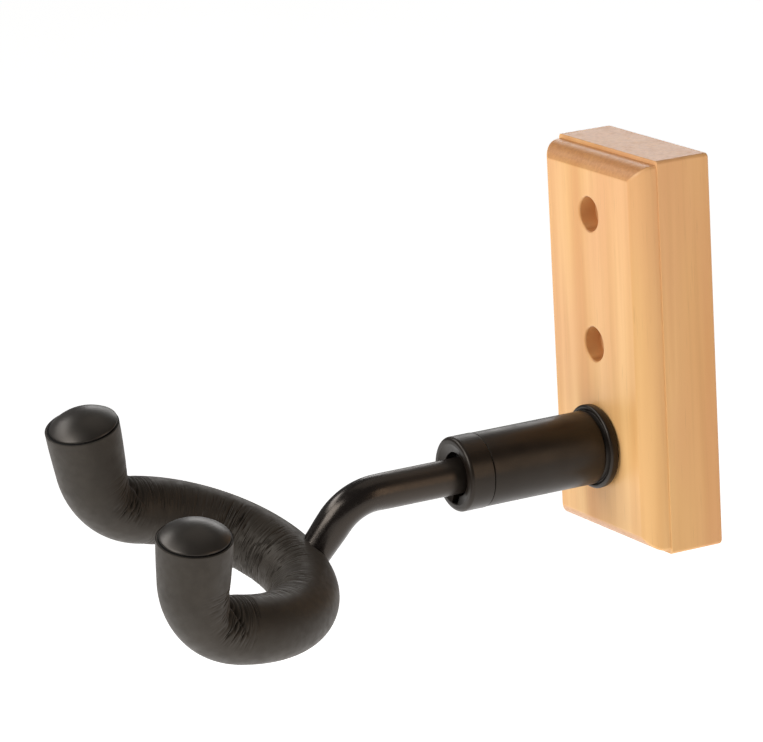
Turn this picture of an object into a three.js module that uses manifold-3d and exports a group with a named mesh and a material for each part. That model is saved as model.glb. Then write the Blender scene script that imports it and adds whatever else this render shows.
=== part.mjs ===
// Wall guitar hanger: a hardwood block carries a swivel housing, and a bent arm
// turns in it and ends in a foam-covered yoke that holds a guitar under its head.
//
// Millimetres. +Z is up, the wall is the plane y = 0 and the hanger reaches out
// along -Y. The origin is on the wall, midway between the two screw holes.
// Lengths called "out" are distances from the wall, so a point has y = -out.

import * as THREE from 'three';
import { mergeVertices } from 'three/addons/utils/BufferGeometryUtils.js';
import Module from 'manifold-3d';

const wasm = await Module();
wasm.setup();

// ---------------------------------------------------------------- dimensions

const GAP = 0.3;                       // air between pieces that touch

// Hardwood block
const BLOCK_WIDTH = 52.5;
const BLOCK_HEIGHT = 114.3;
const BLOCK_DEPTH = 24.4;
const EDGE_STEP_OUT = 17.3;            // where the moulded front edge starts
const END_STEP = 1.2;                  // how far it steps in at the top and bottom
const SIDE_STEP = 0.4;                 // and at the sides
const EDGE_LEDGE = 0.9;                // short flat between the step and the round
const EDGE_ROUND = 4.3;                // width of the rounded moulding
const EDGE_ROUND_TURN = THREE.MathUtils.degToRad(63);
const BACK_EASE = 0.8;                 // chamfer round the back face
const SCREW_SPACING = 38;              // two wall screws, one above the other
const SCREW_HOLE_R = 3.0;
const SCREW_SEAT_R = 5.3;
const SCREW_SEAT_DEPTH = 5.5;
const BLOCK_TOP = 37.35;               // above the midpoint of the screw holes

// Arm axis, straight out from the wall
const ARM_Z = -49.3;
const ARM_R = 5.0;

// Tie bolt that holds the swivel housing to the block
const BOLT_R = 4.0;
const BOLT_HEAD_OUT = [0.8, 6.0];
const BOLT_HEAD_R = 7.5;               // across the hexagon's corners, halved
const BOLT_END_OUT = 36.0;
const WASHER_OUT = [6.3, 7.9];
const WASHER_R = 10.0;
const BOLT_POCKET_R = 11.0;
const BOLT_POCKET_DEPTH = 8.2;

// Swivel housing
const FLANGE_R = 12.3;
const FLANGE_NECK_R = 10.5;
const FLANGE_EASE = 0.8;
const FLANGE_OUT = [BLOCK_DEPTH + GAP, 28.0];
const SLEEVE_OUT = [28.3, 64.8];
const SLEEVE_R = 10.8;
const SLEEVE_BORE_R = 8.6;
const PLUG_OUT = [28.3, 38.0];
const INNER_R = 8.3;                   // pieces that fill the sleeve's bore
const CAP_OUT = [60.6, 72.6];
const CAP_R = 10.8;
const CAP_BORE_R = 7.2;
const CAP_MOUTH_R = 6.25;
const CAP_MOUTH_OUT = [69.0, 71.8];
const NOTCH_WIDTH = 3.2;
const NOTCH_R = 8.0;

// Swivel bearing, from the wall outwards
const ROD_START_OUT = 38.6;
const RING_OUT = [39.6, 40.8];
const RING_R = 7.4;
const RING_GROOVE_R = 4.1;
const BEARING_R = 5.12;                // running bore round the arm
const REAR_BUSHING_OUT = [41.2, 46.0];
const DISC_SPRING_OUT = [46.3, 47.9];
const FRICTION_WASHER_OUT = [48.2, 49.7];
const COLLAR_OUT = [50.0, 57.5];
const COLLAR_R = 8.2;
const FRONT_BUSHING_OUT = [57.8, 68.7];
const BUSHING_FLANGE = 2.5;
const CROSS_PIN_R = 1.5;
const STOP_PIN_R = 1.0;
const STOP_PIN_RADIUS = 7.0;           // its distance from the arm axis
const STOP_PIN_OUT = [52.3, 60.0];
const SWIVEL_LIMIT = THREE.MathUtils.degToRad(45);
const STOP_CLEARANCE = THREE.MathUtils.degToRad(1);

// Bent arm and yoke. The yoke is modelled where it was left, swivelled to one side.
const REST_SWIVEL = THREE.MathUtils.degToRad(18.75);
const ARM_BEND_OUT = 97.6;
const ARM_BEND_R = 14.2;
const ARM_BEND = THREE.MathUtils.degToRad(59.2);
const ARM_END_LENGTH = 16.9;           // straight stretch after the bend
const YOKE_BACK_OUT = 121.8;
const YOKE_BACK_DROP = 20.5;           // below the arm axis
const YOKE_R = 4.0;
const LOOP_HALF_WIDTH = 31.4;
const LOOP_DEPTH = 34.0;
const LOOP_RISE = THREE.MathUtils.degToRad(13.3);
const PRONG_BEND_R = 20.6;
// The two prongs are bent by hand and differ a little: how far each is bent up
// from the loop, how far it leans aside and how long its straight tip is.
const LEFT_PRONG = {
  side: -1,
  bend: THREE.MathUtils.degToRad(64.6),
  lean: THREE.MathUtils.degToRad(8.5),
  straight: 14.0,
};
const RIGHT_PRONG = {
  side: 1,
  bend: THREE.MathUtils.degToRad(74.1),
  lean: THREE.MathUtils.degToRad(-3.8),
  straight: 13.0,
};
const WELD_R = 5.8;
const WELD_LENGTH = 3.4;

// Foam tubes and tip caps
const FOAM_R = 9.7;
const FOAM_BORE_R = 4.75;
const ROD_SHORT_OF_TIP = 3.0;
const TIP_CAP_R = 9.3;
const TIP_CAP_DOME = 3.7;
const TIP_CAP_EDGE = 0.5;
const TIP_STEM_R = 2.0;
const TIP_STEM_LENGTH = 9.0;

// ----------------------------------------------------------------- materials

function finish(color, roughness, metalness) {
  return () => new THREE.MeshStandardMaterial({ color, roughness, metalness });
}

const maple = finish(0xeec08c, 0.45, 0);
const housingBlack = finish(0x231f1c, 0.42, 0);
const rodBlack = finish(0x1b1917, 0.35, 0.3);
const foamBlack = finish(0x2b2a27, 0.6, 0);
const capBlack = finish(0x33302d, 0.35, 0);
const zincSteel = finish(0xb9bcc0, 0.35, 0.9);
const springSteel = finish(0x6f7276, 0.3, 0.9);
const nylon = finish(0x1c1b1a, 0.55, 0);

// ------------------------------------------------------------ solid geometry

function signedVolume(positions, corners) {
  const [a, b, c] = [new THREE.Vector3(), new THREE.Vector3(), new THREE.Vector3()];
  let volume = 0;
  for (let i = 0; i < corners.length; i += 3) {
    a.fromArray(positions, 3 * corners[i]);
    b.fromArray(positions, 3 * corners[i + 1]);
    c.fromArray(positions, 3 * corners[i + 2]);
    volume += a.dot(b.cross(c)) / 6;
  }
  return volume;
}

// A closed geometry becomes a solid: shared vertices merged, collapsed triangles
// dropped, and every face turned to look outwards.
function solid(geometry) {
  const bare = geometry.clone();
  bare.deleteAttribute('normal');
  bare.deleteAttribute('uv');
  const merged = mergeVertices(bare, 1e-4);
  const index = merged.index.array;
  const corners = [];
  for (let i = 0; i < index.length; i += 3) {
    const [a, b, c] = [index[i], index[i + 1], index[i + 2]];
    if (a !== b && b !== c && c !== a) corners.push(a, b, c);
  }
  const positions = merged.attributes.position.array;
  if (signedVolume(positions, corners) < 0) corners.reverse();
  return new wasm.Manifold(new wasm.Mesh({
    numProp: 3,
    vertProperties: new Float32Array(positions),
    triVerts: new Uint32Array(corners),
  }));
}

function mesh(name, body, makeMaterial) {
  const cut = body.getMesh();
  const geometry = new THREE.BufferGeometry();
  geometry.setAttribute('position', new THREE.BufferAttribute(new Float32Array(cut.vertProperties), 3));
  geometry.setIndex(new THREE.BufferAttribute(new Uint32Array(cut.triVerts), 1));
  geometry.computeVertexNormals();
  const result = new THREE.Mesh(geometry, makeMaterial());
  result.name = name;
  return result;
}

// A turned piece about the arm axis. The profile is a list of [radius, out].
function turned(profile, sides = 24) {
  const points = profile.map(([radius, out]) => new THREE.Vector2(radius, -out));
  return solid(new THREE.LatheGeometry(points, sides));
}

function ring(innerR, outerR, [nearOut, farOut], sides = 24) {
  return turned([
    [innerR, nearOut], [outerR, nearOut], [outerR, farOut], [innerR, farOut], [innerR, nearOut],
  ], sides);
}

function disc(radius, [nearOut, farOut], sides = 24) {
  return turned([[0, nearOut], [radius, nearOut], [radius, farOut], [0, farOut]], sides);
}

// Points of a quarter round in a turned profile, from one angle to another.
function arcPoints(centreR, centreOut, radius, fromAngle, toAngle, count) {
  const points = [];
  for (let i = 0; i <= count; i += 1) {
    const angle = fromAngle + (toAngle - fromAngle) * i / count;
    points.push([centreR + radius * Math.cos(angle), centreOut + radius * Math.sin(angle)]);
  }
  return points;
}

function roundSection(radius, sides) {
  const points = [];
  for (let i = 0; i < sides; i += 1) {
    const angle = 2 * Math.PI * i / sides;
    points.push(new THREE.Vector2(radius * Math.cos(angle), radius * Math.sin(angle)));
  }
  return points;
}

function sweptRod(path, radius, sides, steps) {
  const section = new THREE.Shape(roundSection(radius, sides));
  return solid(new THREE.ExtrudeGeometry(section, { extrudePath: path, steps, bevelEnabled: false }));
}

// ---------------------------------------------------------------- centrelines

// A curve made of pieces, each with its length and its own point at a distance.
class JoinedCurve extends THREE.Curve {
  constructor(pieces) {
    super();
    this.pieces = pieces;
    this.total = pieces.reduce((sum, piece) => sum + piece.length, 0);
  }

  getPoint(t, target = new THREE.Vector3()) {
    let run = t * this.total;
    for (const piece of this.pieces.slice(0, -1)) {
      if (run <= piece.length) return target.copy(piece.at(run));
      run -= piece.length;
    }
    return target.copy(this.pieces.at(-1).at(run));
  }
}

function straightPiece(start, direction, length) {
  return { length, at: (run) => start.clone().addScaledVector(direction, run) };
}

// A bend starts along "direction" and turns towards "side", both unit vectors.
function bendPiece(start, direction, side, radius, angle) {
  return {
    length: radius * angle,
    at: (run) => {
      const turn = run / radius;
      return start.clone()
        .addScaledVector(direction, radius * Math.sin(turn))
        .addScaledVector(side, radius * (1 - Math.cos(turn)));
    },
  };
}

// These are in the swivel's own frame: its origin is where the arm axis meets
// the wall, and the yoke stands level in it.
const outwards = new THREE.Vector3(0, -1, 0);
const downwards = new THREE.Vector3(0, 0, -1);

function armPath(startOut, endLength) {
  const start = new THREE.Vector3(0, -startOut, 0);
  const straight = straightPiece(start, outwards, ARM_BEND_OUT - startOut);
  const bendStart = straight.at(straight.length);
  const bend = bendPiece(bendStart, outwards, downwards, ARM_BEND_R, ARM_BEND);
  const endDirection = outwards.clone().multiplyScalar(Math.cos(ARM_BEND))
    .addScaledVector(downwards, Math.sin(ARM_BEND));
  const end = straightPiece(bend.at(bend.length), endDirection, endLength);
  return new JoinedCurve([straight, bend, end]);
}

// One half of the yoke from its back to a tip.
function prongPieces({ side, bend: bendAngle, lean, straight: straightLength }) {
  const back = new THREE.Vector3(0, -YOKE_BACK_OUT, -YOKE_BACK_DROP);
  const forward = new THREE.Vector3(0, -Math.cos(LOOP_RISE), Math.sin(LOOP_RISE));
  const aside = new THREE.Vector3(side, 0, 0);
  const quarter = Math.PI / 2;
  const loop = {
    length: quarter * (LOOP_HALF_WIDTH + LOOP_DEPTH) / 2,
    at(run) {
      const turn = quarter * run / this.length;
      return back.clone()
        .addScaledVector(aside, LOOP_HALF_WIDTH * Math.sin(turn))
        .addScaledVector(forward, LOOP_DEPTH * (1 - Math.cos(turn)));
    },
  };
  const up = new THREE.Vector3(0, Math.sin(LOOP_RISE), Math.cos(LOOP_RISE))
    .multiplyScalar(Math.cos(lean))
    .addScaledVector(aside, Math.sin(lean));
  const bend = bendPiece(loop.at(loop.length), forward, up, PRONG_BEND_R, bendAngle);
  const tipDirection = forward.clone().multiplyScalar(Math.cos(bendAngle))
    .addScaledVector(up, Math.sin(bendAngle));
  const straight = straightPiece(bend.at(bend.length), tipDirection, straightLength);
  return { pieces: [loop, bend, straight], tipDirection, tip: straight.at(straightLength) };
}

function reversedPiece(piece) {
  return { length: piece.length, at: (run) => piece.at(piece.length - run) };
}

const left = prongPieces(LEFT_PRONG);
const right = prongPieces(RIGHT_PRONG);

function shortened(prong) {
  const [loop, bend, straight] = prong.pieces;
  return [loop, bend, { length: straight.length - ROD_SHORT_OF_TIP, at: straight.at }];
}

const yokePath = new JoinedCurve([
  ...shortened(left).map(reversedPiece).reverse(),
  ...shortened(right),
]);

// ------------------------------------------------------------- fixed sub-parts

// The block is a stack of rectangles, each inset a little, joined into one skin.
function blockBlank() {
  const layers = [
    [BACK_EASE, BACK_EASE, 0],
    [0, 0, BACK_EASE],
    [0, 0, EDGE_STEP_OUT],
    [SIDE_STEP, END_STEP, EDGE_STEP_OUT + 0.01],
  ];
  const roundStart = EDGE_STEP_OUT + EDGE_LEDGE;
  const widthScale = EDGE_ROUND / (1 - Math.cos(EDGE_ROUND_TURN));
  const depthScale = (BLOCK_DEPTH - roundStart) / Math.sin(EDGE_ROUND_TURN);
  for (let i = 0; i <= 6; i += 1) {
    const angle = EDGE_ROUND_TURN * i / 6;
    const inset = widthScale * (1 - Math.cos(angle));
    layers.push([SIDE_STEP + inset, END_STEP + inset, roundStart + depthScale * Math.sin(angle)]);
  }
  const positions = [];
  for (const [sideInset, endInset, out] of layers) {
    const halfWidth = BLOCK_WIDTH / 2 - sideInset;
    const top = BLOCK_TOP - endInset;
    const bottom = BLOCK_TOP - BLOCK_HEIGHT + endInset;
    for (const [x, z] of [[-halfWidth, bottom], [halfWidth, bottom], [halfWidth, top], [-halfWidth, top]]) {
      positions.push(x, -out, z);
    }
  }
  const index = [0, 1, 2, 0, 2, 3];
  for (let layer = 0; layer < layers.length - 1; layer += 1) {
    for (let side = 0; side < 4; side += 1) {
      const a = 4 * layer + side;
      const b = 4 * layer + (side + 1) % 4;
      index.push(a, a + 4, b + 4, a, b + 4, b);
    }
  }
  const last = 4 * (layers.length - 1);
  index.push(last, last + 2, last + 1, last, last + 3, last + 2);
  const geometry = new THREE.BufferGeometry();
  geometry.setAttribute('position', new THREE.BufferAttribute(new Float32Array(positions), 3));
  geometry.setIndex(index);
  return solid(geometry);
}

function backBlock() {
  const seatOut = BLOCK_DEPTH - SCREW_SEAT_DEPTH;
  let block = blockBlank();
  for (const z of [-SCREW_SPACING / 2, SCREW_SPACING / 2]) {
    block = block.subtract(disc(SCREW_HOLE_R, [-1, BLOCK_DEPTH + 1], 20).translate([0, 0, z]));
    block = block.subtract(disc(SCREW_SEAT_R, [seatOut, BLOCK_DEPTH + 1], 28).translate([0, 0, z]));
  }
  const pocket = disc(BOLT_POCKET_R, [-1, BOLT_POCKET_DEPTH]);
  const boltHole = disc(BOLT_R + 0.4, [-1, BLOCK_DEPTH + 1]);
  return block.subtract(pocket.add(boltHole).translate([0, 0, ARM_Z]));
}

function tieBolt() {
  const head = disc(BOLT_HEAD_R, BOLT_HEAD_OUT, 6);
  const shank = disc(BOLT_R, [BOLT_HEAD_OUT[0] + 1, BOLT_END_OUT]);
  return head.add(shank);
}

function wallFlange() {
  const [back, front] = FLANGE_OUT;
  const lip = 0.8;
  return turned([
    [BOLT_R + 0.4, back],
    [FLANGE_R - FLANGE_EASE, back],
    [FLANGE_R, back + FLANGE_EASE],
    ...arcPoints(FLANGE_R - lip, front - 1 - lip, lip, 0, Math.PI / 2, 4),
    [FLANGE_NECK_R, front - 1],
    [FLANGE_NECK_R, front],
    [BOLT_R + 0.4, front],
    [BOLT_R + 0.4, back],
  ], 36);
}

function swivelSleeve() {
  const [wallEnd, capEnd] = SLEEVE_OUT;
  return turned([
    [SLEEVE_BORE_R, wallEnd],
    [SLEEVE_R - 0.4, wallEnd],
    [SLEEVE_R, wallEnd + 0.5],
    [SLEEVE_R, capEnd - 0.2],
    [SLEEVE_R - 0.2, capEnd],
    [SLEEVE_BORE_R, capEnd],
    [SLEEVE_BORE_R, wallEnd],
  ], 36);
}

function sleevePlug() {
  const threadedHole = disc(BOLT_R + GAP, [PLUG_OUT[0] - 1, BOLT_END_OUT + GAP]);
  return disc(INNER_R, PLUG_OUT).subtract(threadedHole);
}

// The cap's spigot presses into the sleeve. Its face is dished towards the mouth,
// and a square notch at the bottom of the mouth holds the front bushing's key.
function sleeveEndCap() {
  const [back, front] = CAP_OUT;
  const shoulder = SLEEVE_OUT[1] + GAP;
  const lip = 1.1;
  const shell = turned([
    [CAP_BORE_R, back],
    [INNER_R, back],
    [INNER_R, shoulder],
    [CAP_R - 0.2, shoulder],
    [CAP_R, shoulder + 0.2],
    ...arcPoints(CAP_R - lip, front - lip, lip, 0, Math.PI / 2, 4),
    [CAP_R - 2 * lip, front - 0.2],
    [CAP_MOUTH_R, CAP_MOUTH_OUT[1]],
    [CAP_MOUTH_R, CAP_MOUTH_OUT[0]],
    [CAP_BORE_R, CAP_MOUTH_OUT[0]],
    [CAP_BORE_R, back],
  ], 36);
  return shell.subtract(bottomKey(NOTCH_WIDTH, NOTCH_R, [shoulder + 1, front + 1]));
}

// A square bar along the arm axis, from inside the bore down to a radius.
function bottomKey(width, radius, [nearOut, farOut]) {
  const innerR = 5.7;
  const bar = new THREE.BoxGeometry(width, farOut - nearOut, radius - innerR);
  bar.translate(0, -(nearOut + farOut) / 2, -(radius + innerR) / 2);
  return solid(bar);
}

// The bushing's rear flange is open over the arc that the stop pin travels.
function frontBushing() {
  const [back, front] = FRONT_BUSHING_OUT;
  const flangeFront = back + BUSHING_FLANGE;
  const keyBack = SLEEVE_OUT[1] + 2;
  const body = turned([
    [BEARING_R, back],
    [INNER_R, back],
    [INNER_R, flangeFront],
    [CAP_BORE_R - GAP, flangeFront],
    [CAP_BORE_R - GAP, front],
    [BEARING_R, front],
    [BEARING_R, back],
  ], 32);
  const key = bottomKey(NOTCH_WIDTH - 2 * GAP, NOTCH_R - GAP, [keyBack, front]);
  return body.add(key).subtract(stopSlot([back - 1, flangeFront + 0.01]));
}

function stopSlot([nearOut, farOut]) {
  const innerR = STOP_PIN_RADIUS - STOP_PIN_R - 0.15;
  const outerR = INNER_R + 2;
  const pinAngle = Math.asin(STOP_PIN_R / STOP_PIN_RADIUS);
  const reach = SWIVEL_LIMIT + pinAngle + STOP_CLEARANCE;
  const points = [];
  for (const [radius, direction] of [[outerR, 1], [innerR, -1]]) {
    for (let i = 0; i <= 12; i += 1) {
      const angle = Math.PI / 2 + direction * reach * (i / 6 - 1);
      points.push(new THREE.Vector2(radius * Math.cos(angle), radius * Math.sin(angle)));
    }
  }
  const slot = new THREE.ExtrudeGeometry(new THREE.Shape(points), {
    depth: farOut - nearOut, bevelEnabled: false,
  });
  slot.rotateX(Math.PI / 2);
  slot.translate(0, -nearOut, 0);
  return solid(slot);
}

// A conical spring washer, 0.8 mm thick.
function discSpring() {
  const [back, front] = DISC_SPRING_OUT;
  const thickness = 0.8;
  return turned([
    [BEARING_R + GAP, back + thickness],
    [INNER_R, back],
    [INNER_R, back + thickness],
    [BEARING_R + GAP, front],
    [BEARING_R + GAP, back + thickness],
  ]);
}

// ----------------------------------------------------------- moving sub-parts

function crossPin(radius, halfLength) {
  const pin = new THREE.CylinderGeometry(radius, radius, 2 * halfLength, 14);
  pin.rotateZ(Math.PI / 2);
  pin.translate(0, -(COLLAR_OUT[0] + 3.2), 0);
  return solid(pin);
}

function stopPin(radius, outs) {
  return disc(radius, outs, 12).translate([0, 0, STOP_PIN_RADIUS]);
}

function armRod() {
  const rod = sweptRod(armPath(ROD_START_OUT, ARM_END_LENGTH), ARM_R, 16, 32);
  const groove = ring(RING_GROOVE_R, ARM_R + 1, [RING_OUT[0] - 0.2, RING_OUT[1] + 0.2]);
  const pinHole = crossPin(CROSS_PIN_R + GAP, ARM_R + 2);
  return rod.subtract(groove).subtract(pinHole).subtract(yokeCutter());
}

function yokeCutter() {
  return sweptRod(yokePath, YOKE_R + GAP, 12, 44);
}

function armCutter() {
  return sweptRod(armPath(ARM_BEND_OUT - 5, ARM_END_LENGTH + 1), ARM_R + GAP, 16, 20);
}

function armCollar() {
  return ring(ARM_R + GAP, COLLAR_R, COLLAR_OUT)
    .subtract(crossPin(CROSS_PIN_R + GAP, COLLAR_R + 1))
    .subtract(stopPin(STOP_PIN_R + GAP, [STOP_PIN_OUT[0] - GAP, COLLAR_OUT[1] + 1]));
}

// A cone round the arm's end, where it meets the back of the yoke.
function weldCone(room) {
  const path = armPath(ARM_BEND_OUT - 5, ARM_END_LENGTH);
  const tip = path.getPoint(1);
  const direction = path.getTangent(1);
  const cone = new THREE.CylinderGeometry(WELD_R + room, ARM_R + 0.8 + room, WELD_LENGTH + 2 * room, 20);
  cone.translate(0, -WELD_LENGTH / 2, 0);
  cone.applyQuaternion(new THREE.Quaternion().setFromUnitVectors(new THREE.Vector3(0, 1, 0), direction));
  cone.translate(tip.x, tip.y, tip.z);
  return solid(cone);
}

function weldFillet() {
  return weldCone(0).subtract(armCutter()).subtract(yokeCutter());
}

function tipFrame(prong, body) {
  const turn = new THREE.Quaternion().setFromUnitVectors(new THREE.Vector3(0, 1, 0), prong.tipDirection);
  const place = new THREE.Matrix4().compose(prong.tip, turn, new THREE.Vector3(1, 1, 1));
  return body.applyMatrix4(place);
}

function yokeRod() {
  const rod = sweptRod(yokePath, YOKE_R, 12, 44);
  const holes = [left, right].map((prong) => {
    const hole = new THREE.CylinderGeometry(TIP_STEM_R + GAP, TIP_STEM_R + GAP, TIP_STEM_LENGTH + 1, 10);
    hole.translate(0, -(TIP_STEM_LENGTH + 1) / 2, 0);
    return solid(tipFrame(prong, hole));
  });
  return rod.subtract(holes[0]).subtract(holes[1]);
}

function foamTube(prong) {
  const section = new THREE.Shape(roundSection(FOAM_R, 18));
  section.holes.push(new THREE.Path(roundSection(FOAM_BORE_R, 10)));
  const tube = new THREE.ExtrudeGeometry(section, {
    extrudePath: new JoinedCurve(prong.pieces), steps: 24, bevelEnabled: false,
  });
  const middle = new THREE.BoxGeometry(GAP, 60, 60);
  middle.translate(0, -YOKE_BACK_OUT, -YOKE_BACK_DROP);
  return solid(tube).subtract(solid(middle)).subtract(armCutter()).subtract(weldCone(GAP));
}

// A domed cap on a stem that presses into the end of the yoke rod.
function tipCap(prong) {
  const domeR = (TIP_CAP_R ** 2 + TIP_CAP_DOME ** 2) / (2 * TIP_CAP_DOME);
  const profile = [new THREE.Vector2(0, -TIP_STEM_LENGTH), new THREE.Vector2(TIP_STEM_R, -TIP_STEM_LENGTH),
    new THREE.Vector2(TIP_STEM_R, GAP), new THREE.Vector2(TIP_CAP_R, GAP)];
  const edge = Math.asin(TIP_CAP_R / domeR);
  for (let i = 0; i <= 6; i += 1) {
    const angle = edge * (1 - i / 6);
    const height = GAP + TIP_CAP_EDGE + TIP_CAP_DOME - domeR * (1 - Math.cos(angle));
    profile.push(new THREE.Vector2(domeR * Math.sin(angle), height));
  }
  return solid(tipFrame(prong, new THREE.LatheGeometry(profile, 24)));
}

// ------------------------------------------------------------------- assembly

const hanger = new THREE.Group();
hanger.name = 'wall_guitar_hanger';
hanger.add(mesh('back_block', backBlock(), maple));

// Everything about the arm axis sits in a group placed on that axis.
const axis = new THREE.Group();
axis.position.set(0, 0, ARM_Z);
axis.add(
  mesh('tie_bolt', tieBolt(), zincSteel),
  mesh('tie_bolt_washer', ring(BOLT_R + 0.4, WASHER_R, WASHER_OUT), zincSteel),
  mesh('wall_flange', wallFlange(), housingBlack),
  mesh('swivel_sleeve', swivelSleeve(), housingBlack),
  mesh('sleeve_plug', sleevePlug(), zincSteel),
  mesh('sleeve_end_cap', sleeveEndCap(), housingBlack),
  mesh('rear_bushing', ring(BEARING_R, INNER_R, REAR_BUSHING_OUT, 32), nylon),
  mesh('disc_spring', discSpring(), springSteel),
  mesh('friction_washer', ring(BEARING_R + GAP, COLLAR_R, FRICTION_WASHER_OUT), nylon),
  mesh('front_bushing', frontBushing(), nylon),
);
hanger.add(axis);

const swivel = new THREE.Group();
swivel.rotation.y = REST_SWIVEL;
swivel.add(
  mesh('retaining_ring', ring(RING_GROOVE_R + GAP, RING_R, RING_OUT), springSteel),
  mesh('arm_collar', armCollar(), zincSteel),
  mesh('collar_pin', crossPin(CROSS_PIN_R, COLLAR_R - GAP), springSteel),
  mesh('stop_pin', stopPin(STOP_PIN_R, STOP_PIN_OUT), springSteel),
  mesh('arm_rod', armRod(), rodBlack),
  mesh('weld_fillet', weldFillet(), rodBlack),
  mesh('yoke_rod', yokeRod(), rodBlack),
  mesh('foam_tube_left', foamTube(left), foamBlack),
  mesh('foam_tube_right', foamTube(right), foamBlack),
  mesh('tip_cap_left', tipCap(left), capBlack),
  mesh('tip_cap_right', tipCap(right), capBlack),
);
axis.add(swivel);

export default hanger;
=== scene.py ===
"""Looks of the wall guitar hanger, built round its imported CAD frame.

Metres, +Z up, the wall is the plane y = 0 and the hanger reaches out along -Y.
"Out" is a distance from the wall, so a point has y = -out. Lengths in the
tables below are millimetres times MM.
"""
import math

import bmesh
import bpy
from mathutils import Matrix, Vector, noise


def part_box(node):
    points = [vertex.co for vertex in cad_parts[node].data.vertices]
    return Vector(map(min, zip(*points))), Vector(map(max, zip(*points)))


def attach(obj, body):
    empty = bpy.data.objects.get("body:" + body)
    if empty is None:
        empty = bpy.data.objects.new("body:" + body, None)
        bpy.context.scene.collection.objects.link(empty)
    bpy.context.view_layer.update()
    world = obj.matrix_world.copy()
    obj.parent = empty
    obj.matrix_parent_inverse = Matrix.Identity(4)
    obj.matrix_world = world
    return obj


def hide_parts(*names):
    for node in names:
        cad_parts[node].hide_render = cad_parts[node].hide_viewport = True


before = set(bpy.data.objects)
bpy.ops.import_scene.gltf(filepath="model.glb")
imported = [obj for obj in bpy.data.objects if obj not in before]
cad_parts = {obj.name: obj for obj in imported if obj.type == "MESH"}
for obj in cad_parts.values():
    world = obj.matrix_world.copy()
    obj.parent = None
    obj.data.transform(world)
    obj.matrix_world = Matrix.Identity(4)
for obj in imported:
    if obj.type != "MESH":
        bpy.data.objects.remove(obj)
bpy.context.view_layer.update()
MM = 0.001

# ------------------------------------------------------------------ dimensions

# Block, as in the CAD part, but with screw seats a little narrower
EDGE_STEP_OUT = 17.3 * MM
END_STEP = 1.2 * MM
SIDE_STEP = 0.4 * MM
EDGE_LEDGE = 0.9 * MM
EDGE_ROUND = 4.3 * MM
EDGE_ROUND_TURN = math.radians(63)
SCREW_HEIGHT = 19 * MM
SCREW_HOLE_R = 3.0 * MM
SCREW_SEAT_R = 4.95 * MM
SCREW_SEAT_DEPTH = 5.5 * MM
BOLT_HOLE_R = 4.4 * MM
BOLT_POCKET_R = 11.0 * MM
BOLT_POCKET_DEPTH = 8.2 * MM

# Arm and yoke, in the swivel's own frame, where the yoke stands level. The arm, the
# foam's tips and the tip caps are drawn a little thicker than in the CAD part.
REST_SWIVEL = math.radians(18.75)
ARM_R = 5.2 * MM
ARM_BEND_OUT = 97.6 * MM
ARM_BEND_R = 14.2 * MM
ARM_BEND = math.radians(59.2)
ARM_END_LENGTH = 16.9 * MM
ARM_END_TAPER = 0.5 * MM
YOKE_BACK_OUT = 121.8 * MM
YOKE_BACK_DROP = 20.5 * MM
LOOP_HALF_WIDTH = 31.4 * MM
LOOP_DEPTH = 34.0 * MM
LOOP_RISE = math.radians(13.3)
PRONG_BEND_R = 20.6 * MM
PRONGS = {
    "left": {
        "side": -1, "bend": math.radians(64.6), "lean": math.radians(8.5), "straight": 14 * MM,
        "fold": 0.4, "cap_slip": 0.5 * MM, "cap_tilt": math.radians(2),
    },
    "right": {
        "side": 1, "bend": math.radians(74.1), "lean": math.radians(-3.8), "straight": 13 * MM,
        "fold": 1.0, "cap_slip": 0.1 * MM, "cap_tilt": math.radians(0.5),
    },
}
FOAM_LOOP_R = 9.55 * MM
FOAM_TIP_R = 10.45 * MM
FOAM_TIP_STRETCH = 25 * MM
FOAM_BORE_R = 4.75 * MM
WRINKLE_SPACING = 0.55 * MM
FINE_WRINKLE = 0.3 * MM
MIDDLING_WRINKLE = 0.36 * MM
BROAD_WRINKLE = 0.22 * MM
FOLD_DEPTH = 1.3 * MM
TIP_CAP_R = 9.7 * MM
TIP_CAP_DOME = 3.7 * MM
TIP_STEM_R = 2.0 * MM
TIP_STEM_LENGTH = 8.5 * MM

# The housing is drawn this much above the arm's axis
HOUSING_LIFT = 0.5 * MM
SLEEVE_BORE_R = 8.6 * MM
CAP_BORE_R = 7.2 * MM
CAP_SPIGOT_R = 8.3 * MM
CAP_MOUTH_R = 6.3 * MM
CAP_MOUTH_BACK = 69.0 * MM
CAP_DISH = 0.9 * MM
NOTCH_WIDTH = 3.2 * MM
NOTCH_REACH = (5.7 * MM, 8.0 * MM)
FLANGE_NECK_R = 10.4 * MM
BOLT_R = 4.0 * MM
BOLT_HALF_FLATS = 6.5 * MM
BOLT_HEAD_END = 6.0 * MM

# Camera
CAMERA_AIM = Vector((-0.1, -93.59, -14.88)) * MM
CAMERA_DISTANCE = 1298.1 * MM
CAMERA_AZIMUTH = math.radians(61.6)
CAMERA_ELEVATION = math.radians(14.573)
CAMERA_ROLL = math.radians(-3.18)
CAMERA_LENS_MM = 220.27

# ------------------------------------------------------------- places of pieces


def middle(node):
    low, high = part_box(node)
    return (low + high) / 2


def outs(node):
    """How far out from the wall a node starts and ends."""
    low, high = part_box(node)
    return -high.y, -low.y


def radius(node):
    low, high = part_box(node)
    return (high.z - low.z) / 2


AXIS_Z = middle("swivel_sleeve").z
TO_AXIS = Matrix.Translation((0, 0, AXIS_Z))
TO_HOUSING = Matrix.Translation((0, 0, AXIS_Z + HOUSING_LIFT))
TO_SWIVEL = TO_AXIS @ Matrix.Rotation(REST_SWIVEL, 4, "Y")


# ---------------------------------------------------------------- mesh building


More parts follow.
